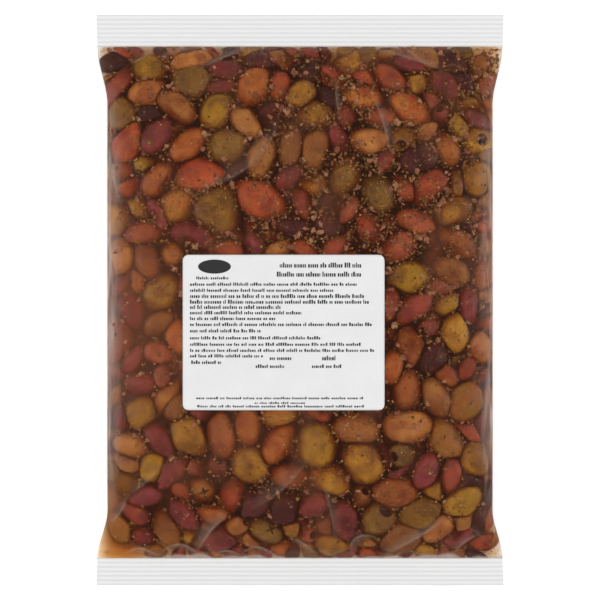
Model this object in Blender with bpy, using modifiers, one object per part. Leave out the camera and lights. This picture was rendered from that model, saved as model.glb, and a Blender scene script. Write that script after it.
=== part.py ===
# A clear pillow bag of mixed pitted olives in seasoned oil, lying on its back with its label up.
#
# The bag is a flat tube of film that is filled and heat sealed across both ends, so its girth is
# the same all the way along: it is widest where it is flat, at the seals, and narrower where the
# olives make it thick. The film and what fills it are one closed solid, and the label is a second
# one stuck on top.
#
# Metres, +Z up. The origin is under the middle of the bag, on the surface that it lies on.
# +Y points to the upper end of the label, and +X to the right of someone who reads it.

import math
import random

import bmesh
import bpy
import numpy as np

# The flat bag, as bought: 250 x 350 mm.
BAG_WIDTH = 0.250
BAG_LENGTH = 0.350
UPPER_SEAL = 0.0195
LOWER_SEAL = 0.0165

# The filled pouch between the seals.
POUCH_WIDTH = 0.236
POUCH_HEIGHT = 0.0375
SIDE_HEIGHT = 0.0150  # level of the fold at either side, where the pouch is widest
UPPER_FLARE = 0.036  # length over which the sides run out to the width of the seal
LOWER_FLARE = 0.030
SHOULDER_RUN = 0.078  # length over which the top rises from a seal to its full height
HEEL_RUN = 0.034  # length over which the underside comes down to the surface
RISE_POWERS = (2.1, 0.72)  # steep at a seal and level at the end of the run
TOP_ROUNDNESS = 2.25  # exponent of the superellipse across the top
BASE_ROUNDNESS = 3.0
SEAL_SQUARENESS = 5.0  # added to both exponents at a seal, so that the section ends flat
SQUARING_RUN = 0.006
FLAT_EXTRA = 0.0022  # how far the underside is pressed flat by the weight on it

# The seals: two welded layers of film with ribs pressed into them.
SEAL_LEVEL = 0.0072
SEAL_DROOP = 0.0022
SEAL_TAPER = 0.0007  # how much narrower a side is at the inner edge of a seal
SEAL_WAVE = 0.0006
SEAL_WAVE_LENGTH = 0.105
UPPER_WAVE_START = 0.7  # radians
LOWER_WAVE_START = 2.1
SEAL_HALF_THICK = 0.0004
UPPER_RIBS = 7
LOWER_RIBS = 6
RIB_DEPTH = 0.00045

# The relief that the contents press into the film.
OLIVE_PITCH = 0.0175  # between olives of one row, and the rows stand 7/8 of it apart
ROW_SHARE = 0.875
OLIVE_NUDGE = 0.0028
LUMP_RADIUS = 0.0098
LUMP_HEIGHT = 0.0016
LUMP_SIDE_FADE = 0.022  # the lumps fade out over this length towards the sides
LUMP_SEAL_FADE = 0.030  # and over this one towards the seals
LUMP_SEED = 11
PUCKER_HEIGHT = 0.0015
PUCKER_LENGTH = 0.031
PUCKER_DRIFT = 0.044  # over this length the puckers crowd together and spread out again
PUCKER_SWELL = 0.019  # and over this one they grow and fade
PUCKER_REACH = 0.017
UPPER_PUCKER_START = 0.9  # radians
LOWER_PUCKER_START = 4.0

# The label, a rounded sheet of paper a little left of and below the middle.
LABEL_SIZE = (0.1230, 0.0947)
LABEL_CENTRE = (-0.0100, -0.0198)
LABEL_CORNER = 0.0035
LABEL_THICK = 0.0004
LABEL_GAP = 0.0003
LABEL_STIFFNESS = 0.80  # share of the lumps that the label smooths away
LABEL_MARGIN = 0.010

# Facets.
POUCH_ROWS = 56
ROW_CROWDING = 0.20  # share by which the rows crowd towards the seals
TOP_FACETS = 44
BASE_FACETS = 16
LABEL_FACETS = (22, 17)

UPPER_END = BAG_LENGTH / 2 - UPPER_SEAL  # where the pouch meets each seal
LOWER_END = -BAG_LENGTH / 2 + LOWER_SEAL


def smooth(t):
    t = min(max(t, 0.0), 1.0)
    return t * t * (3 - 2 * t)


def rise(distance, run):
    """0 at a seal and 1 from run onwards, steep at first as on a stuffed pillow."""
    t = min(max(distance / run, 0.0), 1.0)
    return (1 - (1 - t) ** RISE_POWERS[0]) ** RISE_POWERS[1]


def from_seals(y):
    """How far y is inside the upper and the lower seal, less than 0 within a seal."""
    return UPPER_END - y, y - LOWER_END


def half_width(y):
    upper, lower = from_seals(y)
    flat, filled = BAG_WIDTH / 2, POUCH_WIDTH / 2
    flare = max(1 - smooth(upper / UPPER_FLARE), 1 - smooth(lower / LOWER_FLARE))
    outer = max(-upper / UPPER_SEAL, -lower / LOWER_SEAL, 0.0)
    at_seal = flat - SEAL_TAPER * (1 - outer)
    return filled + (at_seal - filled) * flare


def seal_level(x, y):
    """Mid-plane of a seal: it droops a little outwards and waves across the bag."""
    upper, lower = from_seals(y)
    outer = max(-upper / UPPER_SEAL, -lower / LOWER_SEAL, 0.0)
    start = UPPER_WAVE_START if y > 0 else LOWER_WAVE_START
    wave = math.sin(2 * math.pi * x / SEAL_WAVE_LENGTH + start)
    return SEAL_LEVEL - SEAL_DROOP * outer ** 1.5 + SEAL_WAVE * wave * (0.4 + 0.6 * outer)


def rib(y):
    """Height of the pressed ribs, which run across the whole seal."""
    upper, lower = from_seals(y)
    outer, ribs = (-upper / UPPER_SEAL, UPPER_RIBS) if y > 0 else (-lower / LOWER_SEAL, LOWER_RIBS)
    if outer <= 0:
        return 0.0
    return RIB_DEPTH * 0.5 * (1 - math.cos(2 * math.pi * ribs * outer))


def lump_centres():
    """Where the upper olives press on the film: staggered rows, each olive nudged at random."""
    draw = random.Random(LUMP_SEED)
    centres = []
    row_pitch = OLIVE_PITCH * ROW_SHARE
    rows = int((UPPER_END - LOWER_END) / row_pitch)
    for row in range(rows):
        y = LOWER_END + (row + 0.5) * row_pitch
        columns = int(2 * half_width(y) / OLIVE_PITCH)
        for column in range(columns):
            x = (column - (columns - 1) / 2 + 0.25 * (-1) ** row) * OLIVE_PITCH
            centres.append(
                (
                    x + draw.uniform(-OLIVE_NUDGE, OLIVE_NUDGE),
                    y + draw.uniform(-OLIVE_NUDGE, OLIVE_NUDGE),
                )
            )
    return np.array(centres)


LUMPS = lump_centres()


def under_label(x, y):
    """1 under the label and 0 beyond a margin round it."""
    share = 1.0
    for place, centre, size in zip((x, y), LABEL_CENTRE, LABEL_SIZE):
        beyond = abs(place - centre) - size / 2
        share *= 1 - smooth(beyond / LABEL_MARGIN)
    return share


def relief(x, y):
    """Lumps over the olives and, near the seals, puckers where the film gathers."""
    upper, lower = from_seals(y)
    edge = half_width(y) - abs(x)
    fade = smooth(edge / LUMP_SIDE_FADE) * smooth(min(upper, lower) / LUMP_SEAL_FADE)
    squared = ((LUMPS - (x, y)) ** 2).sum(axis=1) / LUMP_RADIUS ** 2
    lump = float(np.clip(1 - squared, 0, 1).max()) * LUMP_HEIGHT * fade
    lump *= 1 - LABEL_STIFFNESS * under_label(x, y)
    near = min(upper, lower)
    swell = near / PUCKER_REACH * math.exp(1 - near / PUCKER_REACH)
    start = UPPER_PUCKER_START if upper < lower else LOWER_PUCKER_START
    drift = 2.4 * math.sin(x / PUCKER_DRIFT + start)
    wave = math.sin(2 * math.pi * x / PUCKER_LENGTH + drift)
    strength = 0.45 + 0.55 * math.sin(x / PUCKER_SWELL + start)
    return lump + PUCKER_HEIGHT * strength * swell ** 2 * wave * smooth(edge / LUMP_SIDE_FADE)


def levels(y):
    """Levels of the middle of the top, the side fold and the middle of the underside at y."""
    near = min(from_seals(y))
    top = SEAL_HALF_THICK + (POUCH_HEIGHT - SEAL_LEVEL) * rise(near, SHOULDER_RUN)
    side = (SIDE_HEIGHT - SEAL_LEVEL) * rise(near, SHOULDER_RUN)
    base = -SEAL_HALF_THICK - SEAL_LEVEL * rise(near, HEEL_RUN)
    return top, side, base


def roundness(y, full):
    """The section is a superellipse that squares off towards the flat seals."""
    return full + SEAL_SQUARENESS * (1 - smooth(min(from_seals(y)) / SQUARING_RUN))


def top_surface(x, y):
    upper, lower = from_seals(y)
    if min(upper, lower) <= 0:
        return seal_level(x, y) + SEAL_HALF_THICK + rib(y)
    top, side, _ = levels(y)
    power = roundness(y, TOP_ROUNDNESS)
    across = min(abs(x) / half_width(y), 1.0)
    bulge = (1 - across ** power) ** (1 / power)
    return seal_level(x, y) + side + (top - side) * bulge + relief(x, y)


def base_surface(x, y):
    upper, lower = from_seals(y)
    if min(upper, lower) <= 0:
        return seal_level(x, y) - SEAL_HALF_THICK + rib(y)
    _, side, base = levels(y)
    power = roundness(y, BASE_ROUNDNESS)
    pressed = FLAT_EXTRA * smooth(min(upper, lower) / HEEL_RUN)
    across = min(abs(x) / half_width(y), 1.0)
    bulge = (1 - across ** power) ** (1 / power)
    return max(seal_level(x, y) + side - (side - base + pressed) * bulge, 0.0)


def even_steps(surface, y, facets):
    """Points across the bag from one side fold to the other, evenly spaced along the surface."""
    dense = half_width(y) * np.cos(np.linspace(0, math.pi, 321))
    heights = np.array([surface(x, y) for x in dense])
    along = np.concatenate([[0], np.cumsum(np.hypot(np.diff(dense), np.diff(heights)))])
    places = np.interp(np.linspace(0, along[-1], facets + 1), along, dense)
    return [(x, surface(x, y)) for x in places]


def side_point(y, sign):
    if min(from_seals(y)) <= 0:
        return sign * half_width(y), seal_level(sign * half_width(y), y) + rib(y)
    return sign * half_width(y), seal_level(sign * half_width(y), y) + levels(y)[1]


def section(y):
    """One ring of the film tube: over the top from right to left, then back underneath."""
    top = even_steps(top_surface, y, TOP_FACETS)[1:-1]
    base = even_steps(base_surface, y, BASE_FACETS)[1:-1]
    return [side_point(y, 1)] + top + [side_point(y, -1)] + base[::-1]


def ring_places():
    """Where the rings stand along the bag: two to each rib, and close together near the seals."""
    lower_seal = [
        -BAG_LENGTH / 2 + LOWER_SEAL * step / (2 * LOWER_RIBS) for step in range(2 * LOWER_RIBS)
    ]
    upper_seal = [
        UPPER_END + UPPER_SEAL * (step + 1) / (2 * UPPER_RIBS) for step in range(2 * UPPER_RIBS)
    ]
    pouch = []
    for step in range(POUCH_ROWS + 1):
        t = 2 * step / POUCH_ROWS - 1
        eased = (1 - ROW_CROWDING) * t + ROW_CROWDING * math.sin(math.pi * t / 2)
        pouch.append((LOWER_END + UPPER_END) / 2 + eased * (UPPER_END - LOWER_END) / 2)
    return lower_seal + pouch + upper_seal


def material(name, colour, roughness):
    made = bpy.data.materials.new(name)
    made.use_nodes = True
    shader = made.node_tree.nodes["Principled BSDF"]
    shader.inputs["Base Color"].default_value = (*colour, 1.0)
    shader.inputs["Roughness"].default_value = roughness
    shader.inputs["Metallic"].default_value = 0.0
    return made


def add_object(name, bm, finish, collection):
    mesh = bpy.data.meshes.new(name)
    bm.to_mesh(mesh)
    bm.free()
    mesh.materials.append(finish)
    mesh.shade_smooth()
    mesh.set_sharp_from_angle(angle=math.radians(40))
    made = bpy.data.objects.new(name, mesh)
    collection.objects.link(made)
    return made


def build_bag(collection):
    """A cylinder, the tube of film, whose rings are then pressed and filled to shape."""
    places = ring_places()
    bm = bmesh.new()
    bmesh.ops.create_cone(
        bm,
        cap_ends=True,
        segments=TOP_FACETS + BASE_FACETS,
        radius1=1.0,
        radius2=1.0,
        depth=2.0,
    )
    lengthwise = [e for e in bm.edges if abs(e.verts[0].co.z - e.verts[1].co.z) > 1]
    bmesh.ops.subdivide_edges(bm, edges=lengthwise, cuts=len(places) - 2, use_grid_fill=True)
    rings = {}
    for vert in bm.verts:
        step = round((vert.co.z + 1) / 2 * (len(places) - 1))
        turn = math.atan2(vert.co.y, vert.co.x) % (2 * math.pi)
        rings.setdefault(step, []).append((turn, vert))
    for step, ring in rings.items():
        y = places[step]
        ring.sort(key=lambda entry: round(entry[0], 4) % round(2 * math.pi, 4))
        for (_, vert), (x, z) in zip(ring, section(y)):
            vert.co = (x, y, z)
    bmesh.ops.recalc_face_normals(bm, faces=bm.faces)
    finish = material("olives in clear film", (0.21, 0.085, 0.03), 0.25)
    return add_object("bag", bm, finish, collection)


def build_label(collection):
    """A flat rounded sheet, draped over the top of the bag and given its thickness upwards."""
    bm = bmesh.new()
    columns, rows = LABEL_FACETS
    bmesh.ops.create_grid(bm, x_segments=columns, y_segments=rows, size=0.5)
    bmesh.ops.scale(bm, verts=bm.verts, vec=(*LABEL_SIZE, 1.0))
    corners = [v for v in bm.verts if len(v.link_edges) == 2]
    bmesh.ops.bevel(
        bm,
        geom=corners,
        affect="VERTICES",
        offset=LABEL_CORNER,
        offset_type="OFFSET",
        segments=4,
        profile=0.5,
        material=-1,
    )
    for vert in bm.verts:
        x, y = vert.co.x + LABEL_CENTRE[0], vert.co.y + LABEL_CENTRE[1]
        vert.co = (x, y, top_surface(x, y) + LABEL_GAP)
    bmesh.ops.recalc_face_normals(bm, faces=bm.faces)
    finish = material("white label paper", (0.80, 0.80, 0.80), 0.55)
    label = add_object("label", bm, finish, collection)
    thickness = label.modifiers.new("thickness", "SOLIDIFY")
    thickness.thickness = LABEL_THICK
    thickness.offset = 1.0
    return label


for leftover in list(bpy.data.objects):
    bpy.data.objects.remove(leftover)
olive_bag = bpy.data.collections.new("bag of olives")
bpy.context.scene.collection.children.link(olive_bag)
build_bag(olive_bag)
build_label(olive_bag)
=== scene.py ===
import math
from collections import namedtuple

import bmesh
import bpy
import numpy as np
from mathutils import Matrix, Vector, noise
from mathutils.bvhtree import BVHTree


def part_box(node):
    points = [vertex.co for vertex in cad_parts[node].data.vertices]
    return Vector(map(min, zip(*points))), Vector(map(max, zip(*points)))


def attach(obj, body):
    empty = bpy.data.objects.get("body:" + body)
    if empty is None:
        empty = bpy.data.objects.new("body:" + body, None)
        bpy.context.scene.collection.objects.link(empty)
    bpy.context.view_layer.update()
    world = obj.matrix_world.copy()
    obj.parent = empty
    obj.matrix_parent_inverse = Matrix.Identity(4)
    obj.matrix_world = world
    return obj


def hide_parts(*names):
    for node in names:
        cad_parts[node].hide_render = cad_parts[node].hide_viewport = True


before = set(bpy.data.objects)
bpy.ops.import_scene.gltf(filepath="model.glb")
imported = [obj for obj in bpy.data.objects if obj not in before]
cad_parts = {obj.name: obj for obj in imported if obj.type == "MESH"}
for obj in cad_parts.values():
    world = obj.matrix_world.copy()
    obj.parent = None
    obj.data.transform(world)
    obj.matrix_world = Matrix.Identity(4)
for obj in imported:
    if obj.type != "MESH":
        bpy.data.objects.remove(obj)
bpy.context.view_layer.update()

# The bag's form: a flat tube of polyethylene film, filled, and heat sealed across both ends. Its
# girth is fixed, so it is widest at the flat seals and draws in where the olives make it thick.
# These are the sizes and formulas of the CAD solid, for a film of much finer facets.
MM = 0.001
bag_low, bag_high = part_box("bag")
BAG_WIDTH = bag_high.x - bag_low.x
BAG_LENGTH = bag_high.y - bag_low.y
UPPER_SEAL = 19.5 * MM
LOWER_SEAL = 16.5 * MM
UPPER_END = BAG_LENGTH / 2 - UPPER_SEAL
LOWER_END = LOWER_SEAL - BAG_LENGTH / 2
POUCH_WIDTH = 236 * MM
POUCH_HEIGHT = 37.5 * MM
SIDE_HEIGHT = 15 * MM
UPPER_FLARE = 36 * MM
LOWER_FLARE = 30 * MM
SHOULDER_RUN = 78 * MM
HEEL_RUN = 34 * MM
RISE_POWERS = (2.1, 0.72)
TOP_ROUNDNESS = 2.25
BASE_ROUNDNESS = 3.0
SEAL_SQUARENESS = 5.0
SQUARING_RUN = 6 * MM
FLAT_EXTRA = 2.2 * MM
SEAL_LEVEL = 7.2 * MM
SEAL_DROOP = 2.2 * MM
SEAL_TAPER = 0.7 * MM
SEAL_WAVE = 0.6 * MM
SEAL_WAVE_LENGTH = 105 * MM
SEAL_WAVE_STARTS = (2.1, 0.7)  # radians, at the lower and the upper seal
SEAL_HALF_THICK = 0.4 * MM
PUCKER_HEIGHT = 1.5 * MM
PUCKER_LENGTH = 31 * MM
PUCKER_DRIFT = 44 * MM
PUCKER_BEND = 2.4  # radians that the ripples drift by
PUCKER_SWELL = 19 * MM
PUCKER_REACH = 17 * MM
PUCKER_STARTS = (4.0, 0.9)
SIDE_FADE = 22 * MM


def smooth(t):
    """Eases from 0 to 1 while t goes from 0 to 1."""
    t = np.clip(t, 0.0, 1.0)
    return t * t * (3 - 2 * t)


def seal_distance(y):
    """How far y is inside the nearer seal, less than 0 within a seal."""
    return np.minimum(UPPER_END - y, y - LOWER_END)


def seal_depth(y):
    """0 at the inner edge of a seal and 1 at the bag's end."""
    beyond = np.maximum((y - UPPER_END) / UPPER_SEAL, (LOWER_END - y) / LOWER_SEAL)
    return np.clip(beyond, 0.0, 1.0)


def rise(y, run):
    """How far the tube has filled out at y: 0 at a seal, and 1 that run inside it."""
    t = np.clip(seal_distance(y) / run, 0.0, 1.0)
    return (1 - (1 - t) ** RISE_POWERS[0]) ** RISE_POWERS[1]


def half_width(y):
    """Half the width of the filled tube, which flares to its flat width at the seals."""
    flare = np.maximum(1 - smooth((UPPER_END - y) / UPPER_FLARE), 1 - smooth((y - LOWER_END) / LOWER_FLARE))
    at_seal = BAG_WIDTH / 2 - SEAL_TAPER * (1 - seal_depth(y))
    return POUCH_WIDTH / 2 + (at_seal - POUCH_WIDTH / 2) * flare


def seal_level(x, y):
    """Height of a seal's middle: a slow wave across the bag, drooping towards the bag's end."""
    outer = seal_depth(y)
    start = np.where(y > 0, SEAL_WAVE_STARTS[1], SEAL_WAVE_STARTS[0])
    wave = np.sin(2 * math.pi * x / SEAL_WAVE_LENGTH + start)
    return SEAL_LEVEL - SEAL_DROOP * outer ** 1.5 + SEAL_WAVE * wave * (0.4 + 0.6 * outer)


def puckers(x, y):
    """Ripples in the upper sheet beside the seals, where the flat tube is drawn in."""
    near = np.maximum(seal_distance(y), 0.0)
    start = np.where(y > 0, PUCKER_STARTS[1], PUCKER_STARTS[0])
    swell = near / PUCKER_REACH * np.exp(1 - near / PUCKER_REACH)
    drift = PUCKER_BEND * np.sin(x / PUCKER_DRIFT + start)
    wave = np.sin(2 * math.pi * x / PUCKER_LENGTH + drift)
    strength = 0.45 + 0.55 * np.sin(x / PUCKER_SWELL + start)
    inwards = smooth((half_width(y) - np.abs(x)) / SIDE_FADE)
    return PUCKER_HEIGHT * strength * swell ** 2 * wave * inwards


def sheets(x, y):
    """Heights of the lower and the upper sheet of film at a place, before the olives press on it."""
    near = seal_distance(y)
    level = seal_level(x, y)
    top = SEAL_HALF_THICK + (POUCH_HEIGHT - SEAL_LEVEL) * rise(y, SHOULDER_RUN)
    side = (SIDE_HEIGHT - SEAL_LEVEL) * rise(y, SHOULDER_RUN)
    base = -SEAL_HALF_THICK - SEAL_LEVEL * rise(y, HEEL_RUN)
    pressed = FLAT_EXTRA * smooth(near / HEEL_RUN)
    square = SEAL_SQUARENESS * (1 - smooth(near / SQUARING_RUN))
    across = np.clip(np.abs(x) / half_width(y), 0.0, 1.0)
    power = TOP_ROUNDNESS + square
    upper = level + side + (top - side) * (1 - across ** power) ** (1 / power) + puckers(x, y)
    power = BASE_ROUNDNESS + square
    lower = level + side - (side - base + pressed) * (1 - across ** power) ** (1 / power)
    return np.maximum(lower, 0.0), upper


LABEL_SIZE = (123.0 * MM, 94.7 * MM)
LABEL_CENTRE = (-10.0 * MM, -19.8 * MM)
LABEL_MARGIN = 10 * MM
SIDE_SLACK = 7 * MM  # from a side fold to where the film is free to move
SEAL_SLACK = 5 * MM  # and from a seal


def under_label(x, y):
    """1 under the label, where the paper holds the film flat, and 0 beyond a margin round it."""
    share = 1.0
    for place, middle, size in zip((x, y), LABEL_CENTRE, LABEL_SIZE):
        share = share * (1 - smooth((np.abs(place - middle) - size / 2) / LABEL_MARGIN))
    return share


def slack(x, y):
    """How far the film can be pushed out of its form: 0 at the side folds and at the seals."""
    return smooth((half_width(y) - np.abs(x)) / SIDE_SLACK) * smooth(seal_distance(y) / SEAL_SLACK)


# The olives: about seven hundred, pitted, of five kinds, cured green, blond, red-brown, maroon and
# near black. Each kind is a few turned shapes, dented, bent and torn, used again at other sizes.
# They are packed loose, and press flats on each other and on the film.
OLIVE_SIDES = 20
OLIVE_RINGS = 15
ROW_SHARE = 0.875
NUDGE = 2.8 * MM
LAYERS = [  # height in the bag, distance between olives, and which way they are pushed
    {"height": 0.66, "pitch": 16.0 * MM, "rising": 0.9},
    {"height": 0.46, "pitch": 18.0 * MM, "rising": 0.4},
    {"height": 0.15, "pitch": 20.5 * MM, "rising": -1.0},
]
SIDE_PITCH = 15 * MM
SEAL_ROW = 5.0 * MM
SEAL_PITCH = 11.5 * MM
LISTED_GROWTH = 1.19  # the olives in the list show a little less than their whole length
LISTED_HEIGHT = 0.8
LISTED_RISING = 1.6  # how hard they are pushed up to the film
EDGE_RISING = 1.1  # and those along the sides and the seals; both keep their place
TILTS = {"lying": (-12, 12), "hole": (-66, -50), "cross": (-80, -68), "torn": (-22, -8)}  # degrees
SUNKEN_CHANCE = 0.32
FILL_SHAPES = {"lying": 0.62, "sunken": 0.22, "hole": 0.09, "torn": 0.07}
SHOWING = 0.6  # height in the bag from which an olive shows
CLEAR_SHARE = 0.37  # of two olives' lengths, how far from a listed one another may show
KINDS = {
    "green": {"slim": 0.84, "tip": 0.04, "length": (21, 26), "share": 0.19, "wrinkle": 0.00},
    "blond": {"slim": 0.73, "tip": 0.22, "length": (20, 25), "share": 0.22, "wrinkle": 0.01},
    "red": {"slim": 0.68, "tip": 0.38, "length": (19, 25), "share": 0.27, "wrinkle": 0.03},
    "maroon": {"slim": 0.64, "tip": 0.45, "length": (20, 25), "share": 0.19, "wrinkle": 0.04},
    "dark": {"slim": 0.72, "tip": 0.30, "length": (20, 25), "share": 0.13, "wrinkle": 0.05},
}
# The ones that stand out in the bag: where they are, in millimetres from its middle, their length
# in millimetres and direction in degrees from +X. The rest fill the room between them.
SEEN = {
    "green lying": [
        (-93, 141, 24, 10), (-66, 134, 23, 15), (-51, 115, 22, 60), (-108, 113, 20, -60),
        (-44, 94, 24, 20), (-76, 57, 23, 80), (-50, 54, 31, 75), (9, 112, 22, 0),
        (31, 143, 24, 60), (27, 76, 24, 70), (48, 65, 22, -60), (108, 74, 21, 80),
        (94, 55, 22, 30), (66, 13, 24, 0), (94, -20, 22, 75), (101, -62, 25, 70),
        (-85, 5, 23, 45), (-96, -69, 21, 60), (-68, -83, 27, -40), (-29, -100, 24, -15),
        (-106, -108, 21, -60), (11, -88, 26, 80), (17, -110, 24, -45), (39, -99, 26, -50),
        (88, -86, 25, -50), (105, -97, 21, -70), (99, -123, 23, 40), (74, -129, 25, 20),
        (20, -150, 22, 0), (-13, -70, 21, 0), (-20, -139, 20, -30), (-112, 47, 22, 85),
        (-89, -101, 18, 60),
    ],
    "green hole": [(48, -134, 26, 40), (62, -95, 18, 200), (109, 97, 23, 30), (63, 98, 17, 250)],
    "blond lying": [
        (-92, 126, 23, 10), (-76, 117, 24, -35), (-69, 95, 23, 40), (-22, 86, 25, 85),
        (-6, 92, 21, 70), (-29, 130, 24, 65), (-33, 108, 21, -45), (-87, 73, 22, 50),
        (38, 123, 23, -10), (67, 116, 25, -35), (89, 93, 21, -60), (42, 97, 21, 0),
        (9, 91, 23, 70), (-12, 146, 17, -40), (-69, 148, 26, 15), (110, 141, 17, 70),
        (75, 150, 22, 0), (92, 17, 21, -30), (96, 35, 24, -30), (111, 14, 18, 60),
        (67, -28, 24, 100), (109, -30, 20, 85), (56, -41, 19, 80), (65, -55, 24, 85),
        (83, -59, 23, -60), (-94, 23, 21, 100), (-109, 26, 22, 90), (-86, -14, 18, 30),
        (-80, -59, 22, 75), (-75, -65, 17, 60), (-74, -23, 21, 90), (-102, -90, 22, -15),
        (-48, -83, 25, 95), (-14, -87, 25, 60), (-32, -77, 21, 90), (-8, -107, 22, -10),
        (-80, -139, 24, -65), (34, -79, 26, -5), (66, -78, 27, 5), (58, -116, 27, -10),
        (85, -139, 21, 35), (62, -146, 25, 30), (-53, -130, 16, 0), (-10, -150, 18, 0),
    ],
    "blond cross": [(-78, 28, 17, 0), (-60, -115, 21, 80)],
    "blond hole": [(37, -119, 18, 45), (-39, -139, 17, 20)],
    "red lying": [
        (-112, 130, 22, 80), (-106, 95, 25, 70), (-62, 76, 26, 10), (-24, 62, 31, -35),
        (-12, 129, 18, 80), (-95, 41, 21, 10), (55, 135, 21, -35), (30, 55, 15, 60),
        (42, 44, 21, -60), (70, 48, 21, -20), (60, 32, 24, 35), (68, -6, 26, 35),
        (55, -2, 19, 85), (-108, 9, 15, 50), (-85, -32, 19, 0), (-112, -50, 15, 60),
        (-112, -25, 26, 85), (-84, -47, 13, 80), (-41, -119, 22, 60), (-101, -129, 19, -35),
        (101, -42, 15, 60),
    ],
    "red hole": [(-108, 80, 17, 160), (80, -15, 21, 220), (-50, -102, 18, 80), (5, -140, 21, -40)],
    "red torn": [(79, 69, 26, 35), (92, -107, 20, 80), (112, -150, 19, 10), (109, -47, 14, 45)],
    "maroon lying": [
        (-87, 100, 23, 50), (-46, 139, 22, -10), (-65, 39, 25, -10), (89, 131, 21, -35),
        (69, 145, 19, 0), (-102, -6, 23, 100), (-100, -36, 18, 45), (-96, -51, 20, 0),
        (-85, -86, 23, -60), (-78, -104, 25, 55), (-71, -130, 21, -60), (-94, -120, 18, 20),
        (-94, -144, 17, 0), (9, -125, 19, 45), (28, -134, 24, -75), (77, -104, 21, 70),
        (97, -144, 19, 30), (-48, -144, 27, 10), (103, -3, 21, 75),
    ],
    "maroon hole": [(87, 112, 20, 110)],
    "dark lying": [
        (-15, 113, 21, 0), (-114, 145, 17, 0), (6, 136, 19, 60), (94, 145, 22, -40),
        (71, 86, 25, 30), (81, -35, 25, 65), (-25, -122, 27, 40), (-10, -126, 23, 60),
        (110, -133, 22, 75), (-25, 146, 18, 0),
    ],
}
draw = np.random.default_rng(11)


def turned_olive(kind, shape, seed):
    """A half outline spun round the olive's long axis. The stem end, where it was pitted, is at
    -Z, and the olive is 2 long and 2 wide."""
    style = KINDS[kind]
    hole = {"hole": 0.38, "torn": 0.36}.get(shape, 0.0)
    tip = style["tip"] * (0.75 + 0.5 * (seed % 3) / 2)
    start = math.asin(hole)
    outline = []
    # Painted shade: the hole's wall and floor get an 'inside' mark, strongest at the floor, with a rim round
    # the lip.
    if hole:
        floor, lip = -0.15, -math.cos(start)
        wall = [(0, floor, 1), (0.7, floor, 1), (0.85, (floor + lip) / 2, 0.8), (0.94, lip + 0.1, 0.5)]
        outline = [(radius * hole, height, depth) for radius, height, depth in wall]
    for angle in np.linspace(start, math.pi, OLIVE_RINGS + 1):
        across, along = math.sin(angle), -math.cos(angle)
        power = 0.94 + tip * float(smooth(along + 0.15))
        rim = 0.3 * math.exp(-((angle - start) / 0.25) ** 2) if hole else 0.0
        outline.append((max(across, 0.0) ** power, along * (1 + 0.25 * tip * (along > 0)), rim))
    bm = bmesh.new()
    inside = bm.verts.layers.float.new("inside")
    verts = []
    for radius, height, depth in outline:
        vert = bm.verts.new((radius, 0, height))
        vert[inside] = depth
        verts.append(vert)
    edges = [bm.edges.new(pair) for pair in zip(verts, verts[1:])]
    bmesh.ops.spin(bm, geom=verts + edges, cent=(0, 0, 0), axis=(0, 0, 1), angle=2 * math.pi,
                   steps=OLIVE_SIDES, use_merge=True)
    bmesh.ops.remove_doubles(bm, verts=bm.verts, dist=1e-4)
    dent(bm, inside, style, shape, seed)
    bmesh.ops.recalc_face_normals(bm, faces=bm.faces)
    mesh = bpy.data.meshes.new("olive shape")
    bm.to_mesh(mesh)
    bm.free()
    return mesh


def dent(bm, inside, style, shape, seed):
    """Makes a turned olive uneven: swellings, creases of shrunken skin, a bend, a hollow, a tear."""
    away = Vector((seed * 7.3, seed * 3.1, seed * 5.7))
    bend = 0.20 * math.sin(seed * 2.4)
    for vert in bm.verts:
        x, y, z = vert.co
        turn = math.atan2(y, x)
        place = vert.co * 1.0
        swell = 1 + 0.19 * noise.noise(place * 0.9 + away) + 0.06 * noise.noise(place * 2.7 + away)
        crease = noise.noise(Vector((x * 2.6, y * 2.6, z * 0.7)) + away)
        swell -= style["wrinkle"] * 2.4 * max(0.0, 1 - abs(crease) * 7)
        if shape == "sunken":
            swell -= 0.5 * math.exp(-(turn / 0.75) ** 2 - ((z - 0.2 * math.sin(seed)) / 0.5) ** 2)
        if shape == "torn":
            gash = max(0.0, 1 - abs(turn - 0.5 * noise.noise(place * 2 + away)) / 0.55)
            gash *= max(0.0, 0.75 - z)
            swell -= 0.52 * min(gash * 1.6, 1.0)
            # The tear gets the same mark, for its flesh and for painted shade in it.
            vert[inside] = max(vert[inside], 0.55 * min(gash * 1.8, 1.0))
        vert.co.x = x * swell + bend * (z * z - 0.3)
        vert.co.y = y * swell
        vert.co.z = z * (1 + 0.06 * noise.noise(place + away * 2))


def heading(turn, tilt):
    """Unit vector of an olive's axis, from its direction across the bag and its tilt upwards."""
    turn, tilt = math.radians(turn), math.radians(tilt)
    return math.cos(turn) * math.cos(tilt), math.sin(turn) * math.cos(tilt), math.sin(tilt)


def empty_corner(x, y):
    """No olive has got into the lower left and the upper right corner, only oil."""
    return (x < -92 * MM and y < -115 * MM) or (x > 100 * MM and y > 136 * MM)


Olive = namedtuple("Olive", "kind shape x y height axis length rising")


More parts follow.
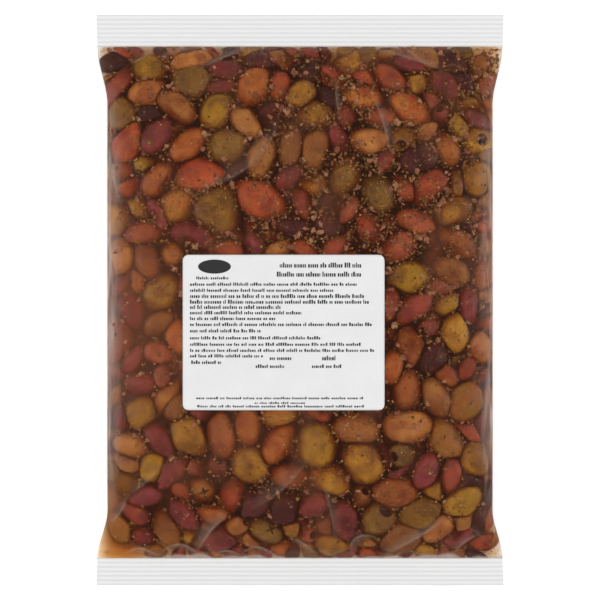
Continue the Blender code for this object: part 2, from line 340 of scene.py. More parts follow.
def gather_olives():
    """Every olive as it is dropped in, before they settle."""
    olives = []
    for look, places in SEEN.items():
        kind, listed_shape = look.split()
        lying = listed_shape == "lying"
        for x, y, length, turn in places:
            tilt = draw.uniform(*TILTS[listed_shape])
            flip = 180 * int(draw.integers(2)) if lying else 180
            axis = heading(turn + flip, tilt)
            sunken = lying and kind != "green" and draw.uniform() < SUNKEN_CHANCE
            shape = "sunken" if sunken else listed_shape
            length *= LISTED_GROWTH
            olives.append(Olive(kind, shape, x * MM, y * MM, LISTED_HEIGHT, axis, length * MM, LISTED_RISING))
    listed = np.array([[o.x, o.y, o.length] for o in olives])
    names = list(KINDS)
    shares = [KINDS[name]["share"] for name in names]

    def drop(x, y, height, rising, small=1.0):
        """Adds an olive there, unless it would show in a listed one's place."""
        kind = str(draw.choice(names, p=shares))
        length = small * draw.uniform(*KINDS[kind]["length"]) * MM
        shape = str(draw.choice(list(FILL_SHAPES), p=list(FILL_SHAPES.values())))
        tilt = draw.uniform(-60, -25) if shape == "hole" else draw.uniform(-25, 25)
        axis = heading(draw.uniform(0, 360), tilt)
        gaps = np.hypot(listed[:, 0] - x, listed[:, 1] - y)
        free = height < SHOWING or (gaps > CLEAR_SHARE * (listed[:, 2] + length)).all()
        if free and not empty_corner(x, y):
            olives.append(Olive(kind, shape, x, y, height, axis, length, rising))

    for layer in LAYERS:
        row_pitch = layer["pitch"] * ROW_SHARE
        for row in range(int((UPPER_END - LOWER_END) / row_pitch)):
            y = LOWER_END + (row + 0.5) * row_pitch
            columns = int(2 * half_width(y) / layer["pitch"])
            for column in range(columns):
                x = (column - (columns - 1) / 2 + 0.25 * (-1) ** row) * layer["pitch"]
                place = (x + draw.uniform(-NUDGE, NUDGE), y + draw.uniform(-NUDGE, NUDGE))
                drop(*place, layer["height"], layer["rising"])
    for side in (-1, 1):
        for y in np.arange(LOWER_END + 10 * MM, UPPER_END - 6 * MM, SIDE_PITCH):
            x = side * (half_width(y) - draw.uniform(4.5, 7) * MM)
            drop(x, y + draw.uniform(-NUDGE, NUDGE), height=0.45, rising=EDGE_RISING, small=0.72)
    for y in (LOWER_END + SEAL_ROW, UPPER_END - SEAL_ROW):
        for x in np.arange(-110 * MM, 112 * MM, SEAL_PITCH):
            drop(x + draw.uniform(-NUDGE, NUDGE), y, height=0.5, rising=EDGE_RISING, small=0.7)
    return olives


BEADS = np.array([-1.0, 0.0, 1.0])  # an olive settles as three beads in a row
END_BEAD = 0.66
SQUEEZE = 0.86  # olives are soft, so they may press this far into each other
NEIGHBOUR = 30 * MM  # olives farther apart than this can't touch
FILM_GAP = 0.5 * MM
SETTLING_STEPS = 150
STEP_SHARE = 0.45  # of a bead's push, how far it goes in one step
STEP_LIMIT = 2 * MM
STEP_RISE = 0.22  # millimetres
STEP_BACK = 0.35  # of its drift, how far an olive that keeps its place goes back
INWARDS = 0.9  # how far the film pushes an olive inwards, beside up or down
SUNK_SHARE = 0.30  # of the listed olives, that many lie this far, in mm, under the film
SUNK = (0.6, 2.6)
KEPT_OUTLINE = 0.7  # how much of its outline a listed olive keeps against the others
GIVE = 1.5 * MM  # how far an olive can push the film out
EASE = 0.75 * MM  # rounding of the flats where olives press on each other
FILM_EASE = 1.1 * MM  # and where they press on the film
SEAL_ROOM = 0.5 * MM  # between the olives and the seals
SIDE_ROOM = 0.8 * MM  # and the side folds
PROBES = np.array([(0, 0, 1), (0.7, 0, 0.7), (-0.7, 0, 0.7), (0, 0.7, 0.7), (0, -0.7, 0.7)])


def bead_sizes(radius):
    return np.stack([END_BEAD * radius, radius, END_BEAD * radius], axis=1)


def bead_places(centre, axis, half, radius):
    reach = half - END_BEAD * radius
    return centre[:, None] + axis[:, None] * (BEADS[None, :, None] * reach[:, None, None])


def neighbours(centre):
    """The olives that may touch, pair by pair."""
    apart = np.linalg.norm(centre[:, None] - centre[None], axis=2)
    return np.nonzero(np.triu(apart < NEIGHBOUR, 1))


def settle(centre, axis, half, radius, rising, sunk, upright):
    """Pushes the olives apart and inside the film, a little at a time."""
    pinned = rising >= EDGE_RISING
    gap = FILM_GAP + sunk[:, None]
    aim, aim_axis = centre[:, :2].copy(), axis.copy()
    sizes = bead_sizes(radius)
    for step in range(SETTLING_STEPS):
        if step % 10 == 0:
            first, second = neighbours(centre)
        beads = bead_places(centre, axis, half, radius)
        push = np.zeros_like(beads)
        for a in range(3):
            for b in range(3):
                line = beads[second, b] - beads[first, a]
                far = np.linalg.norm(line, axis=1) + 1e-9
                deep = np.clip((sizes[first, a] + sizes[second, b]) * SQUEEZE - far, 0, None)
                move = line * (0.5 * deep / far)[:, None]
                np.add.at(push[:, a], first, -move)
                np.add.at(push[:, b], second, move)
        for dx, dy, dz in PROBES:
            x = beads[..., 0] + dx * sizes
            y = np.clip(beads[..., 1] + dy * sizes, LOWER_END, UPPER_END)
            lower, upper = sheets(x, y)
            above = np.clip(beads[..., 2] + dz * sizes + gap - upper, 0, None)
            below = np.clip(lower + FILM_GAP - beads[..., 2] + dz * sizes, 0, None)
            push[..., 2] += below - above
            push[..., 0] -= dx * INWARDS * (above + below)
            push[..., 1] -= dy * INWARDS * (above + below)
        beads += np.clip(push * STEP_SHARE, -STEP_LIMIT, STEP_LIMIT)
        centre[:] = beads.mean(axis=1)
        centre[:, 2] += rising * STEP_RISE * MM
        axis[:] = beads[:, 2] - beads[:, 0]
        axis /= np.linalg.norm(axis, axis=1)[:, None]
        centre[pinned, :2] += STEP_BACK * (aim[pinned] - centre[pinned, :2])
        axis[pinned] += STEP_BACK * aim_axis[pinned]
        axis[upright] = aim_axis[upright]
        axis /= np.linalg.norm(axis, axis=1)[:, None]


def contacts(centre, axis, half, radius, listed):
    """Where each olive's neighbours flatten it: planes, each a point and the way out of it. The
    listed olives keep their outline against the rest."""
    sizes = bead_sizes(radius)
    beads = bead_places(centre, axis, half, radius)
    planes = [[] for _ in centre]
    for first, second in zip(*neighbours(centre)):
        line = beads[second][None] - beads[first][:, None]
        far = np.linalg.norm(line, axis=2)
        deep = sizes[first][:, None] + sizes[second][None] - far
        a, b = np.unravel_index(deep.argmax(), deep.shape)
        if deep[a, b] > 0:
            share = sizes[first][a] / (sizes[first][a] + sizes[second][b])
            if listed[first] != listed[second]:
                whole = sizes[first][a] if listed[first] else far[a, b] - sizes[second][b]
                share += KEPT_OUTLINE * (whole / far[a, b] - share)
            at = beads[first][a] + line[a, b] * share
            out = line[a, b] / far[a, b]
            planes[first].append((at, out))
            planes[second].append((at, -out))
    return planes


def pressed(points, planes):
    """An olive's points once its neighbours and the film have flattened it."""
    for at, out in planes:
        deep = (points - at) @ out / EASE
        points = points - np.outer(EASE * np.logaddexp(0, deep), out)
    x, y, z = points.T
    y = np.clip(y, LOWER_END + SEAL_ROOM, UPPER_END - SEAL_ROOM)
    room = half_width(y) - SIDE_ROOM
    x = np.clip(x, -room, room)
    lower, upper = sheets(x, y)
    roof = upper + GIVE * (1 - under_label(x, y)) * slack(x, y) - FILM_GAP
    ground = np.minimum(lower + FILM_GAP, roof)
    z = roof - FILM_EASE * np.logaddexp(0, (roof - z) / FILM_EASE)
    z = ground + FILM_EASE * np.logaddexp(0, (z - ground) / FILM_EASE)
    return np.column_stack([x, y, z])


olives = gather_olives()
slim = np.array([KINDS[o.kind]["slim"] * draw.uniform(0.92, 1.08) for o in olives])
half = np.array([o.length / 2 for o in olives])
radius = half * slim
axis = np.array([o.axis for o in olives], float)
places = np.array([[o.x, o.y] for o in olives])
ground, roof = sheets(places[:, 0], places[:, 1])
centre = np.column_stack([places, ground + (roof - ground) * np.array([o.height for o in olives])])
rising = np.array([o.rising for o in olives])
listed = rising > EDGE_RISING
deeper = listed & (draw.uniform(size=rising.size) < SUNK_SHARE)
sunk = np.where(deeper, draw.uniform(*SUNK, rising.size) * MM, 0.0)
settle(centre, axis, half, radius, rising, sunk, np.array([o.shape in ("hole", "cross") for o in olives]))
flats = contacts(centre, axis, half, radius, listed)


def linear(code):
    """A colour of six hex digits, from sRGB to linear light."""
    parts = [int(code[i:i + 2], 16) / 255 for i in (1, 3, 5)]
    return [c / 12.92 if c <= 0.04045 else ((c + 0.055) / 1.055) ** 2.4 for c in parts]


# Skin colours of each kind, the main tone and the blush over part of it, several pairs a kind.
SKINS = {
    "green": [("#98651a", "#6c4010"), ("#7b5212", "#5c390f"), ("#a0711c", "#7a4a14"), ("#73501a", "#5c3c15"),
              ("#94680f", "#6a450d"), ("#835616", "#8f4f1c")],
    "blond": [("#965a26", "#733619"), ("#8a491f", "#6c3116"), ("#9f6630", "#7d431e"), ("#7d4a1d", "#653616"),
              ("#9c5722", "#833412")],
    "red": [("#903a1f", "#672319"), ("#99421e", "#762c1a"), ("#7f3223", "#60231f"), ("#90462b", "#712e1f")],
    "maroon": [("#742726", "#52171b"), ("#7c3030", "#5a1d22"), ("#671e21", "#481619")],
    "dark": [("#3a0e0f", "#2b0a0d"), ("#431317", "#2f0d11"), ("#330d0e", "#250a0d")],
}
LIGHT = (0.80, 1.20)  # how much lighter or darker one olive is than another
FILL_PAINTED_SHADE = 0.91  # and those between the listed ones are painted that much darker: painted shade for lying deeper in the oil
RIGHT_PAINTED_SHADE = 0.07  # the olives towards the right are painted that much darker: painted shade, as if less light reached the right
SHAPES_EACH = {"lying": 6, "sunken": 4, "hole": 3, "torn": 2, "cross": 1}

shapes = {}
for kind in KINDS:
    for shape, count in SHAPES_EACH.items():
        for number in range(count):
            seed = 1 + number + 10 * len(shapes)
            shapes[kind, shape, number] = turned_olive(kind, shape, seed % 97)


def lay(bm, mesh, places):
    """Adds a copy of a shape to a joined mesh, with its points at those places."""
    start = len(bm.verts)
    bm.from_mesh(mesh)
    bm.verts.ensure_lookup_table()
    fresh = bm.verts[start:]
    for vert, place in zip(fresh, places):
        vert.co = place
    return fresh


def finished(name, bm, material, smooth_faces=True):
    """The object of a joined mesh, at the origin."""
    mesh = bpy.data.meshes.new(name)
    bm.to_mesh(mesh)
    bm.free()
    mesh.materials.append(material)
    if smooth_faces:
        mesh.shade_smooth()
    made = bpy.data.objects.new(name, mesh)
    bpy.context.scene.collection.objects.link(made)
    return made


def add_node(tree, kind, settings=None, links=None):
    """Adds a node with its settings, and links its inputs to other nodes' outputs."""
    node = tree.nodes.new(kind)
    for key, value in (settings or {}).items():
        if isinstance(key, str) and hasattr(node, key):
            setattr(node, key, value)
        else:
            node.inputs[key].default_value = value
    for key, source in (links or {}).items():
        tree.links.new(source, node.inputs[key])
    return node


def new_material(name):
    made = bpy.data.materials.new(name)
    made.use_nodes = True
    made.node_tree.nodes.clear()
    output = made.node_tree.nodes.new("ShaderNodeOutputMaterial")
    return made, made.node_tree, output


def olive_skin(name, pores, spots):
    """Brined olive skin: smooth and waxy, mottled over a few millimetres, with pale pores about
    2 mm apart and here and there a dark spot. Oil on it takes most of its shine away."""
    material, tree, output = new_material(name)
    own, skin, blush, inside = (
        add_node(tree, "ShaderNodeAttribute", {"attribute_name": mark}).outputs[socket]
        for mark, socket in (("own", "Vector"), ("skin", "Color"), ("blush", "Color"), ("inside", "Fac")))
    patches = add_node(tree, "ShaderNodeTexNoise", {"Scale": 1 / (10 * MM), "Detail": 1.0}, {"Vector": own})
    share = add_node(tree, "ShaderNodeMapRange", {"From Min": 0.36, "From Max": 0.68},
                     {"Value": patches.outputs["Fac"]})
    tone = add_node(tree, "ShaderNodeMix", {"data_type": "RGBA"},
                    {0: share.outputs["Result"], 6: skin, 7: blush})
    mottle = add_node(tree, "ShaderNodeTexNoise", {"Scale": 1 / (1.7 * MM), "Detail": 4.0}, {"Vector": own})
    shade = add_node(
        tree, "ShaderNodeMapRange", {"From Min": 0.3, "From Max": 0.7, "To Min": 0.84, "To Max": 1.16},
        {"Value": mottle.outputs["Fac"]})
    coat = add_node(tree, "ShaderNodeVectorMath", {"operation": "SCALE"},
                    {0: tone.outputs[2], "Scale": shade.outputs["Result"]}).outputs["Vector"]
    for spacing, inner, outer, strength, colour in (
            (1.9 * MM, 0.10, 0.17, pores, "#d8b070"), (6.5 * MM, 0.05, 0.11, spots, "#3a2012")):
        dots = add_node(tree, "ShaderNodeTexVoronoi", {"Scale": 1 / spacing}, {"Vector": own})
        dot = add_node(
            tree, "ShaderNodeMapRange",
            {"From Min": inner, "From Max": outer, "To Min": strength, "To Max": 0.0},
            {"Value": dots.outputs["Distance"]})
        coat = add_node(tree, "ShaderNodeMix", {"data_type": "RGBA", 7: (*linear(colour), 1)},
                        {0: dot.outputs["Result"], 6: coat}).outputs[2]
    # Painted shade: where the 'inside' mark is, in the pitted hole and the tear, the skin is painted dark
    # brown, partly the flesh and partly the shade in the hollow.
    hollow = add_node(tree, "ShaderNodeMix", {"data_type": "RGBA", 7: (*linear("#44221a"), 1)},
                      {0: inside, 6: coat})
    relief = add_node(tree, "ShaderNodeBump", {"Strength": 0.25, "Distance": 0.2 * MM},
                      {"Height": mottle.outputs["Fac"]})
    shader = add_node(tree, "ShaderNodeBsdfPrincipled", {"Roughness": 0.42, "Specular IOR Level": 0.18},
                      {"Base Color": hollow.outputs[2], "Normal": relief.outputs["Normal"]})
    tree.links.new(shader.outputs[0], output.inputs["Surface"])
    return material


heaps = {}
for kind in KINDS:
    bm = bmesh.new()
    layers = bm.verts.layers
    layers.float.new("inside")
    heaps[kind] = (bm, layers.float_vector.new("own"), layers.float_color.new("skin"),
                   layers.float_color.new("blush"))
for number, (kind, shape, *_) in enumerate(olives):
    bm, own, skin, blush = heaps[kind]
    mesh = shapes[kind, shape, int(draw.integers(SHAPES_EACH[shape]))]
    width, length = radius[number], half[number]
    spin = Matrix.Rotation(draw.uniform(0, 2 * math.pi), 3, "Z")
    turn = np.array(Vector(axis[number]).to_track_quat("Z", "Y").to_matrix() @ spin)
    sized = np.array([v.co for v in mesh.vertices]) * (width, width * draw.uniform(0.9, 1.05), length)
    fresh = lay(bm, mesh, pressed(sized @ turn.T + centre[number], flats[number]))
    pair = SKINS[kind][int(draw.integers(len(SKINS[kind])))]
    # Painted shade: the fill olives are painted darker for lying deeper in the oil.
    light = draw.uniform(*LIGHT) * (1.0 if listed[number] else FILL_PAINTED_SHADE)
    # Painted shade: the olives are painted darker towards the right of the bag.
    light *= 1 - RIGHT_PAINTED_SHADE * smooth(0.5 + (centre[number][0] - 20 * MM) / (120 * MM))
    tones = [[c * light for c in linear(code)] + [1.0] for code in pair]
    for vert, place in zip(fresh, sized + draw.uniform(0, 1, 3)):
        vert[own] = place
        vert[skin] = tones[0]
        vert[blush] = tones[1]
SKIN_DOTS = {  # how strongly the pale pores and the dark spots show
    "green": ("brined green olive skin", 0.5, 0.8),
    "blond": ("brined blond olive skin", 0.25, 0.65),
    "red": ("brined red-brown olive skin", 0.15, 0.35),
    "maroon": ("brined maroon olive skin", 0.10, 0.2),
    "dark": ("brined black olive skin", 0.05, 0.1),
}
piles = []
for kind, (bm, *_) in heaps.items():
    pile = finished(f"olives_{kind}", bm, olive_skin(*SKIN_DOTS[kind]))
    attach(pile, "root")
    piles.append(pile)

# The pitting machine's cross cuts, on three of the olives whose stem end is turned up: two thin
# dark slits each. Their place and width are in millimetres.
CROSSES = [(-58.5, -117.0, 7.6), (-48.4, -105.3, 5.0), (-17.7, -140.0, 7.4)]
SLIT_SLIM = 0.20
SLIT_RISE = 0.03 * MM
CROSS_TURN = 0.35  # radians


def cut_flesh(name):
    """The brown flesh inside a slit, dark since little light gets in."""
    material, tree, output = new_material(name)
    shader = add_node(tree, "ShaderNodeBsdfPrincipled", {
        "Base Color": (*linear("#22120a"), 1), "Roughness": 0.6, "Specular IOR Level": 0.15})
    tree.links.new(shader.outputs[0], output.inputs["Surface"])
    return material


graph = bpy.context.evaluated_depsgraph_get()
trees = [BVHTree.FromObject(pile, graph) for pile in piles]
bm = bmesh.new()
for x, y, width in CROSSES:
    for turn in (CROSS_TURN, CROSS_TURN + math.pi / 2):
        before = len(bm.verts)
        bmesh.ops.create_grid(bm, x_segments=16, y_segments=2, size=0.5)
        bm.verts.ensure_lookup_table()
        for vert in bm.verts[before:]:
            along, across = vert.co.x * width, vert.co.y * width * SLIT_SLIM * (1 - 4 * vert.co.x ** 2) ** 0.7
            spot = Vector((
                x + along * math.cos(turn) - across * math.sin(turn),
                y + along * math.sin(turn) + across * math.cos(turn),
            )) * MM
            hits = [tree.ray_cast(Vector((*spot, 0.1)), Vector((0, 0, -1)))[0] for tree in trees]
            vert.co = (*spot, max(hit.z for hit in hits if hit) + SLIT_RISE)
cuts = finished("pitting_cuts", bm, cut_flesh("dark cut olive flesh"))
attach(cuts, "root")

# Where the olives press on the film: a map of how high they stand, and of how low, in millimetre
# cells, felt from above and below with rays. The film is drawn over them, sags a little between
# them, and under the label is held flat by the paper.
CELL = 1.0 * MM
MAP_HALF = (128, 178)
SAG = 0.45 * MM
OLIVE_CLEARANCE = 0.45 * MM
BASE_CLEARANCE = 0.3 * MM
HIGHEST_LIFT = 4 * MM
DRAPE = 1.8  # cells that the film bridges at first
DRAWN = 0.9  # and each time it is drawn down
PAPER_BRIDGE = 8  # cells that the label bridges
PAPER_HOLD = 0.9


def to_cells(x, y):
    return x / CELL + MAP_HALF[0], y / CELL + MAP_HALF[1]


def read_map(cells, x, y):
    """The map's value between its cells."""
    u, v = to_cells(np.asarray(x, float), np.asarray(y, float))
    u = np.clip(u, 0, cells.shape[0] - 1.001)
    v = np.clip(v, 0, cells.shape[1] - 1.001)
    i, j = u.astype(int), v.astype(int)
    s, t = u - i, v - j
    low = cells[i, j] * (1 - s) + cells[i + 1, j] * s
    high = cells[i, j + 1] * (1 - s) + cells[i + 1, j + 1] * s
    return low * (1 - t) + high * t


def blur(cells, reach):
    """Averages a map over a bell curve of that many cells."""
    taps = np.arange(-int(3 * reach), int(3 * reach) + 1)
    weights = np.exp(-0.5 * (taps / reach) ** 2)
    weights /= weights.sum()
    for side in (0, 1):
        cells = sum(w * np.roll(cells, tap, axis=side) for w, tap in zip(weights, taps))
    return cells


def felt(trees, grid_x, grid_y, sign):
    """Height of the first olive met from above (sign 1) or from below (-1), or far off."""
    heights = np.full(grid_x.shape, -sign * 1.0)
    way = Vector((0, 0, -sign))
    for cell in np.ndindex(grid_x.shape):
        start = Vector((grid_x[cell], grid_y[cell], sign * 0.2))
        for tree in trees:
            hit = tree.ray_cast(start, way)[0]
            if hit is not None:
                heights[cell] = max(sign * heights[cell], sign * hit.z) * sign
    return heights


def drawn_over(clear):
    """Film relief that stays clear of the olives and sags between them."""
    clear = np.clip(clear, -SAG, HIGHEST_LIFT)
    lift = blur(clear, DRAPE)
    for _ in range(4):
        lift = blur(np.maximum(lift, clear), DRAWN)
    return lift


steps = [(np.arange(2 * count + 1) - count) * CELL for count in MAP_HALF]
grid_x, grid_y = np.meshgrid(*steps, indexing="ij")
lower_map, upper_map = sheets(grid_x, grid_y)
olive_tops = felt(trees, grid_x, grid_y, 1)
olive_bases = felt(trees, grid_x, grid_y, -1)
free = slack(grid_x, grid_y)
upper_lift = drawn_over(olive_tops + OLIVE_CLEARANCE - upper_map) * free
lower_lift = drawn_over(lower_map + BASE_CLEARANCE - olive_bases) * free
held = under_label(grid_x, grid_y)
upper_lift += PAPER_HOLD * held * (blur(upper_lift, PAPER_BRIDGE) - upper_lift)

# The film: clear polyethylene, about 0.1 mm thick, with a soft shine and a slight milky haze. Each
# seal is its two layers welded between ribbed jaws, which frosts them white.
UPPER_RIBS = 7
LOWER_RIBS = 6
RIB_DEPTH = 0.45 * MM
RIB_ROWS = 6
GROOVE_SHARE = 0.17  # of a rib's pitch, the half width of the groove between ribs
TOP_FACETS = 190
BASE_FACETS = 96
FINE_ROW = 0.85 * MM
COARSE_ROW = 1.75 * MM
FINE_RUN = 24 * MM  # beside a seal the rows are fine, and from there they get coarser
COARSENING = 30 * MM
MILKY_REACH = 6.0 * MM  # beside the seals the film looks milky, out to a wavy line
SIDE_SHEEN_REACH = 75 * MM  # the painted sheen down the sides is strongest within this far of the middle
SEAL_EDGE = 0.12 * MM


def groove(y):
    """1 in the grooves between a seal's ribs, and 0 on the ribs and in the pouch."""
    ribs = np.where(y > 0, UPPER_RIBS, LOWER_RIBS)
    turn = seal_depth(y) * ribs
    off = np.abs(turn - np.rint(turn)) / GROOVE_SHARE
    return np.exp(-off ** 2) * (seal_distance(y) < 0)


def milky(x, y):
    """How milky the film is beside a seal, 1 at the seal."""
    wave = 0.5 + 0.28 * np.sin(x / (6.1 * MM)) + 0.22 * np.sin(x / (2.7 * MM) + 1.3 * np.sign(y))
    wave = wave * (0.55 + 0.45 * np.sin(x / (23 * MM) + 2.2 * np.sign(y)))
    reach = MILKY_REACH * np.clip(wave, 0.08, 1.0)
    return 1 - smooth((seal_distance(y) - 0.35 * reach) / (0.65 * reach))


def film_heights(x, y, inset=0.0):
    """The lower and the upper sheet as they lie over the olives, or that far inside them."""
    lower, upper = sheets(x, y)
    lower = np.maximum(lower - read_map(lower_lift, x, y), 0.0)
    upper = upper + read_map(upper_lift, x, y)
    rib = RIB_DEPTH * (1 - groove(y)) * (seal_distance(y) < 0)
    gap = np.maximum(upper - lower - 2 * inset, 0.0) / 2
    centre_line = (upper + lower) / 2
    return centre_line - gap + rib, centre_line + gap + rib


def ring(y, top_facets, base_facets, inset):
    """One turn of the tube at y: over the top from the right fold to the left, then back under."""
    dense_x = (half_width(y) - inset) * np.cos(np.linspace(0, math.pi, 241))
    parts = []
    for sheet, facets in ((1, top_facets), (0, base_facets)):
        dense_z = sheets(dense_x, y)[sheet]
        along = np.concatenate([[0], np.cumsum(np.hypot(np.diff(dense_x), np.diff(dense_z)))])
        x = np.interp(np.linspace(0, along[-1], facets + 1), along, dense_x)
        z = film_heights(x, np.full_like(x, y), inset)[sheet]
        fold = (np.abs(x) > half_width(y) - inset - 1e-6) & (seal_distance(y) > 0)
        z[fold] = sheets(x, np.full_like(x, y))[1][fold]
        parts.append(np.column_stack([x, np.full_like(x, y), z]))
    return np.concatenate([parts[0], parts[1][::-1][1:]])


def film_rows(start, end):
    """Places along the pouch, close together near the seals and wider apart in the middle."""
    rows = [start]
    while rows[-1] < end:
        coarse = float(smooth((seal_distance(rows[-1]) - FINE_RUN) / COARSENING))
        rows.append(rows[-1] + FINE_ROW + (COARSE_ROW - FINE_ROW) * coarse)
    rows = np.array(rows)
    return list(start + (rows - start) * (end - start) / (rows[-1] - start))


def tube(rows, top_facets, base_facets, inset=0.0):
    """A sheet rolled into the tube of film: every row becomes a turn, and both ends are closed."""
    around = top_facets + base_facets
    turns = [ring(y, top_facets, base_facets, inset) for y in rows]
    bm = bmesh.new()
    bmesh.ops.create_grid(bm, x_segments=around, y_segments=len(rows) - 1, size=1.0)
    for vert in bm.verts:
        column = round((vert.co.x + 1) / 2 * around)
        row = round((vert.co.y + 1) / 2 * (len(rows) - 1))
        vert.co = turns[row][column]
    bmesh.ops.remove_doubles(bm, verts=bm.verts, dist=1e-7)
    open_edges = [edge for edge in bm.edges if edge.is_boundary]
    bmesh.ops.holes_fill(bm, edges=open_edges, sides=0)
    bmesh.ops.recalc_face_normals(bm, faces=bm.faces)
    return bm


def clear_film(name):
    """Clear film shines softly where it turns away. Where it lies off the oil it looks milky: in
    soft patches and in scallops beside the seals. Whitish streaks down the sides and a patch at the
    left middle are painted sheen, standing for the side lights' reflection. In two corners its
    underside is painted golden: a painted glow for the table's light shining up through thin oil."""
    material, tree, output = new_material(name)
    place = add_node(tree, "ShaderNodeTexCoord").outputs["Object"]
    seal, line, cling, side, rubbed, dregs = (
        add_node(tree, "ShaderNodeAttribute", {"attribute_name": mark}).outputs["Fac"]
        for mark in ("seal", "groove", "cling", "side", "rubbed", "dregs"))
    passing = add_node(tree, "ShaderNodeBsdfTransparent")
    bending = add_node(tree, "ShaderNodeBsdfRefraction", {"Roughness": 0.55, "IOR": 1.45})
    ray = add_node(tree, "ShaderNodeLightPath")
    clear = add_node(tree, "ShaderNodeMixShader", {},
                     {0: ray.outputs["Is Camera Ray"], 1: passing.outputs[0], 2: bending.outputs[0]})
    gloss = add_node(tree, "ShaderNodeBsdfAnisotropic", {"Roughness": 0.25})
    fresnel = add_node(tree, "ShaderNodeFresnel", {"IOR": 1.22})
    sheen = add_node(tree, "ShaderNodeMath", {"operation": "MINIMUM", 1: 0.09}, {0: fresnel.outputs[0]})
    shiny = add_node(tree, "ShaderNodeMixShader", {},
                     {0: sheen.outputs[0], 1: clear.outputs[0], 2: gloss.outputs[0]})
    stretch = add_node(tree, "ShaderNodeMapping", {"Scale": (1.0, 0.5, 1.0)}, {"Vector": place})
    cloud = add_node(tree, "ShaderNodeTexNoise", {"Scale": 1 / (24 * MM), "Detail": 3.0},
                     {"Vector": stretch.outputs[0]})
    patch = add_node(
        tree, "ShaderNodeMapRange", {"From Min": 0.48, "From Max": 0.72, "To Min": 0.048, "To Max": 0.20},
        {"Value": cloud.outputs["Fac"]})
    # Painted sheen: long streaks of whitish veil down the sides, where the curving film would reflect the
    # side lights.
    long = add_node(tree, "ShaderNodeMapping", {"Scale": (1.0, 0.16, 1.0)}, {"Vector": place})
    streaks = add_node(tree, "ShaderNodeTexNoise", {"Scale": 1 / (4.5 * MM), "Detail": 2.0},
                       {"Vector": long.outputs[0]})
    streak = add_node(
        tree, "ShaderNodeMapRange", {"From Min": 0.46, "From Max": 0.70, "To Min": 0.0, "To Max": 0.40},
        {"Value": streaks.outputs["Fac"]})
    sides = add_node(tree, "ShaderNodeMath", {"operation": "MULTIPLY_ADD"},
                     {0: streak.outputs["Result"], 1: side, 2: patch.outputs["Result"]})
    close = add_node(tree, "ShaderNodeMath", {"operation": "MULTIPLY_ADD", 1: 0.7},
                     {0: cling, 2: sides.outputs[0]})
    # Painted sheen: a whiter veil over the left middle of the bag.
    veil = add_node(tree, "ShaderNodeMath", {"operation": "MULTIPLY_ADD", 1: 0.21},
                    {0: rubbed, 2: close.outputs[0]})
    # The painted sheen down the sides takes the whitish colour, as the scallops do.
    edge = add_node(tree, "ShaderNodeMath", {"operation": "MAXIMUM"}, {0: cling, 1: side})
    cloudy = add_node(
        tree, "ShaderNodeMix", {"data_type": "RGBA", 6: (*linear("#966045"), 1), 7: (*linear("#d4c2b6"), 1)},
        {0: edge.outputs[0]})
    milk_and_sheen = add_node(tree, "ShaderNodeBsdfDiffuse", {}, {"Color": cloudy.outputs[2]})
    hazy = add_node(tree, "ShaderNodeMixShader", {},
                    {0: veil.outputs[0], 1: shiny.outputs[0], 2: milk_and_sheen.outputs[0]})
    # Painted light: a bright golden diffuse underside stands for the table's light shining up through the
    # thin oil.
    golden = add_node(tree, "ShaderNodeBsdfDiffuse", {"Color": (*linear("#ffdc7c"), 1)})
    lit_from_below = add_node(tree, "ShaderNodeMixShader", {},
                       {0: dregs, 1: hazy.outputs[0], 2: golden.outputs[0]})
    # Painted shade: the seal is frosted light grey, painted a little darker in the grooves between its ribs.
    frost_and_groove_shade = add_node(
        tree, "ShaderNodeMix", {"data_type": "RGBA", 6: (*linear("#dfdfdf"), 1), 7: (*linear("#d2d2d2"), 1)},
        {0: line})
    weld = add_node(tree, "ShaderNodeBsdfPrincipled", {"Roughness": 0.38, "Specular IOR Level": 0.3},
                    {"Base Color": frost_and_groove_shade.outputs[2]})
    share = add_node(tree, "ShaderNodeMath", {"operation": "MULTIPLY", 1: 0.96}, {0: seal})
    whole = add_node(tree, "ShaderNodeMixShader", {},
                     {0: share.outputs[0], 1: lit_from_below.outputs[0], 2: weld.outputs[0]})
    tree.links.new(whole.outputs[0], output.inputs["Surface"])
    return material


seal_steps = {1: UPPER_RIBS * RIB_ROWS, -1: LOWER_RIBS * RIB_ROWS}
rows = list(np.linspace(-BAG_LENGTH / 2, LOWER_END, seal_steps[-1], endpoint=False))
rows += [LOWER_END] + film_rows(LOWER_END + SEAL_EDGE, UPPER_END - SEAL_EDGE) + [UPPER_END]
rows += list(np.linspace(UPPER_END, BAG_LENGTH / 2, seal_steps[1] + 1)[1:])
bm = tube(rows, TOP_FACETS, BASE_FACETS)
x, y, z = np.array([vert.co for vert in bm.verts]).T
under = z < sum(film_heights(x, y)) / 2 - 0.5 * MM
in_pouch = seal_distance(y) > 0
from_side = half_width(y) - np.abs(x)
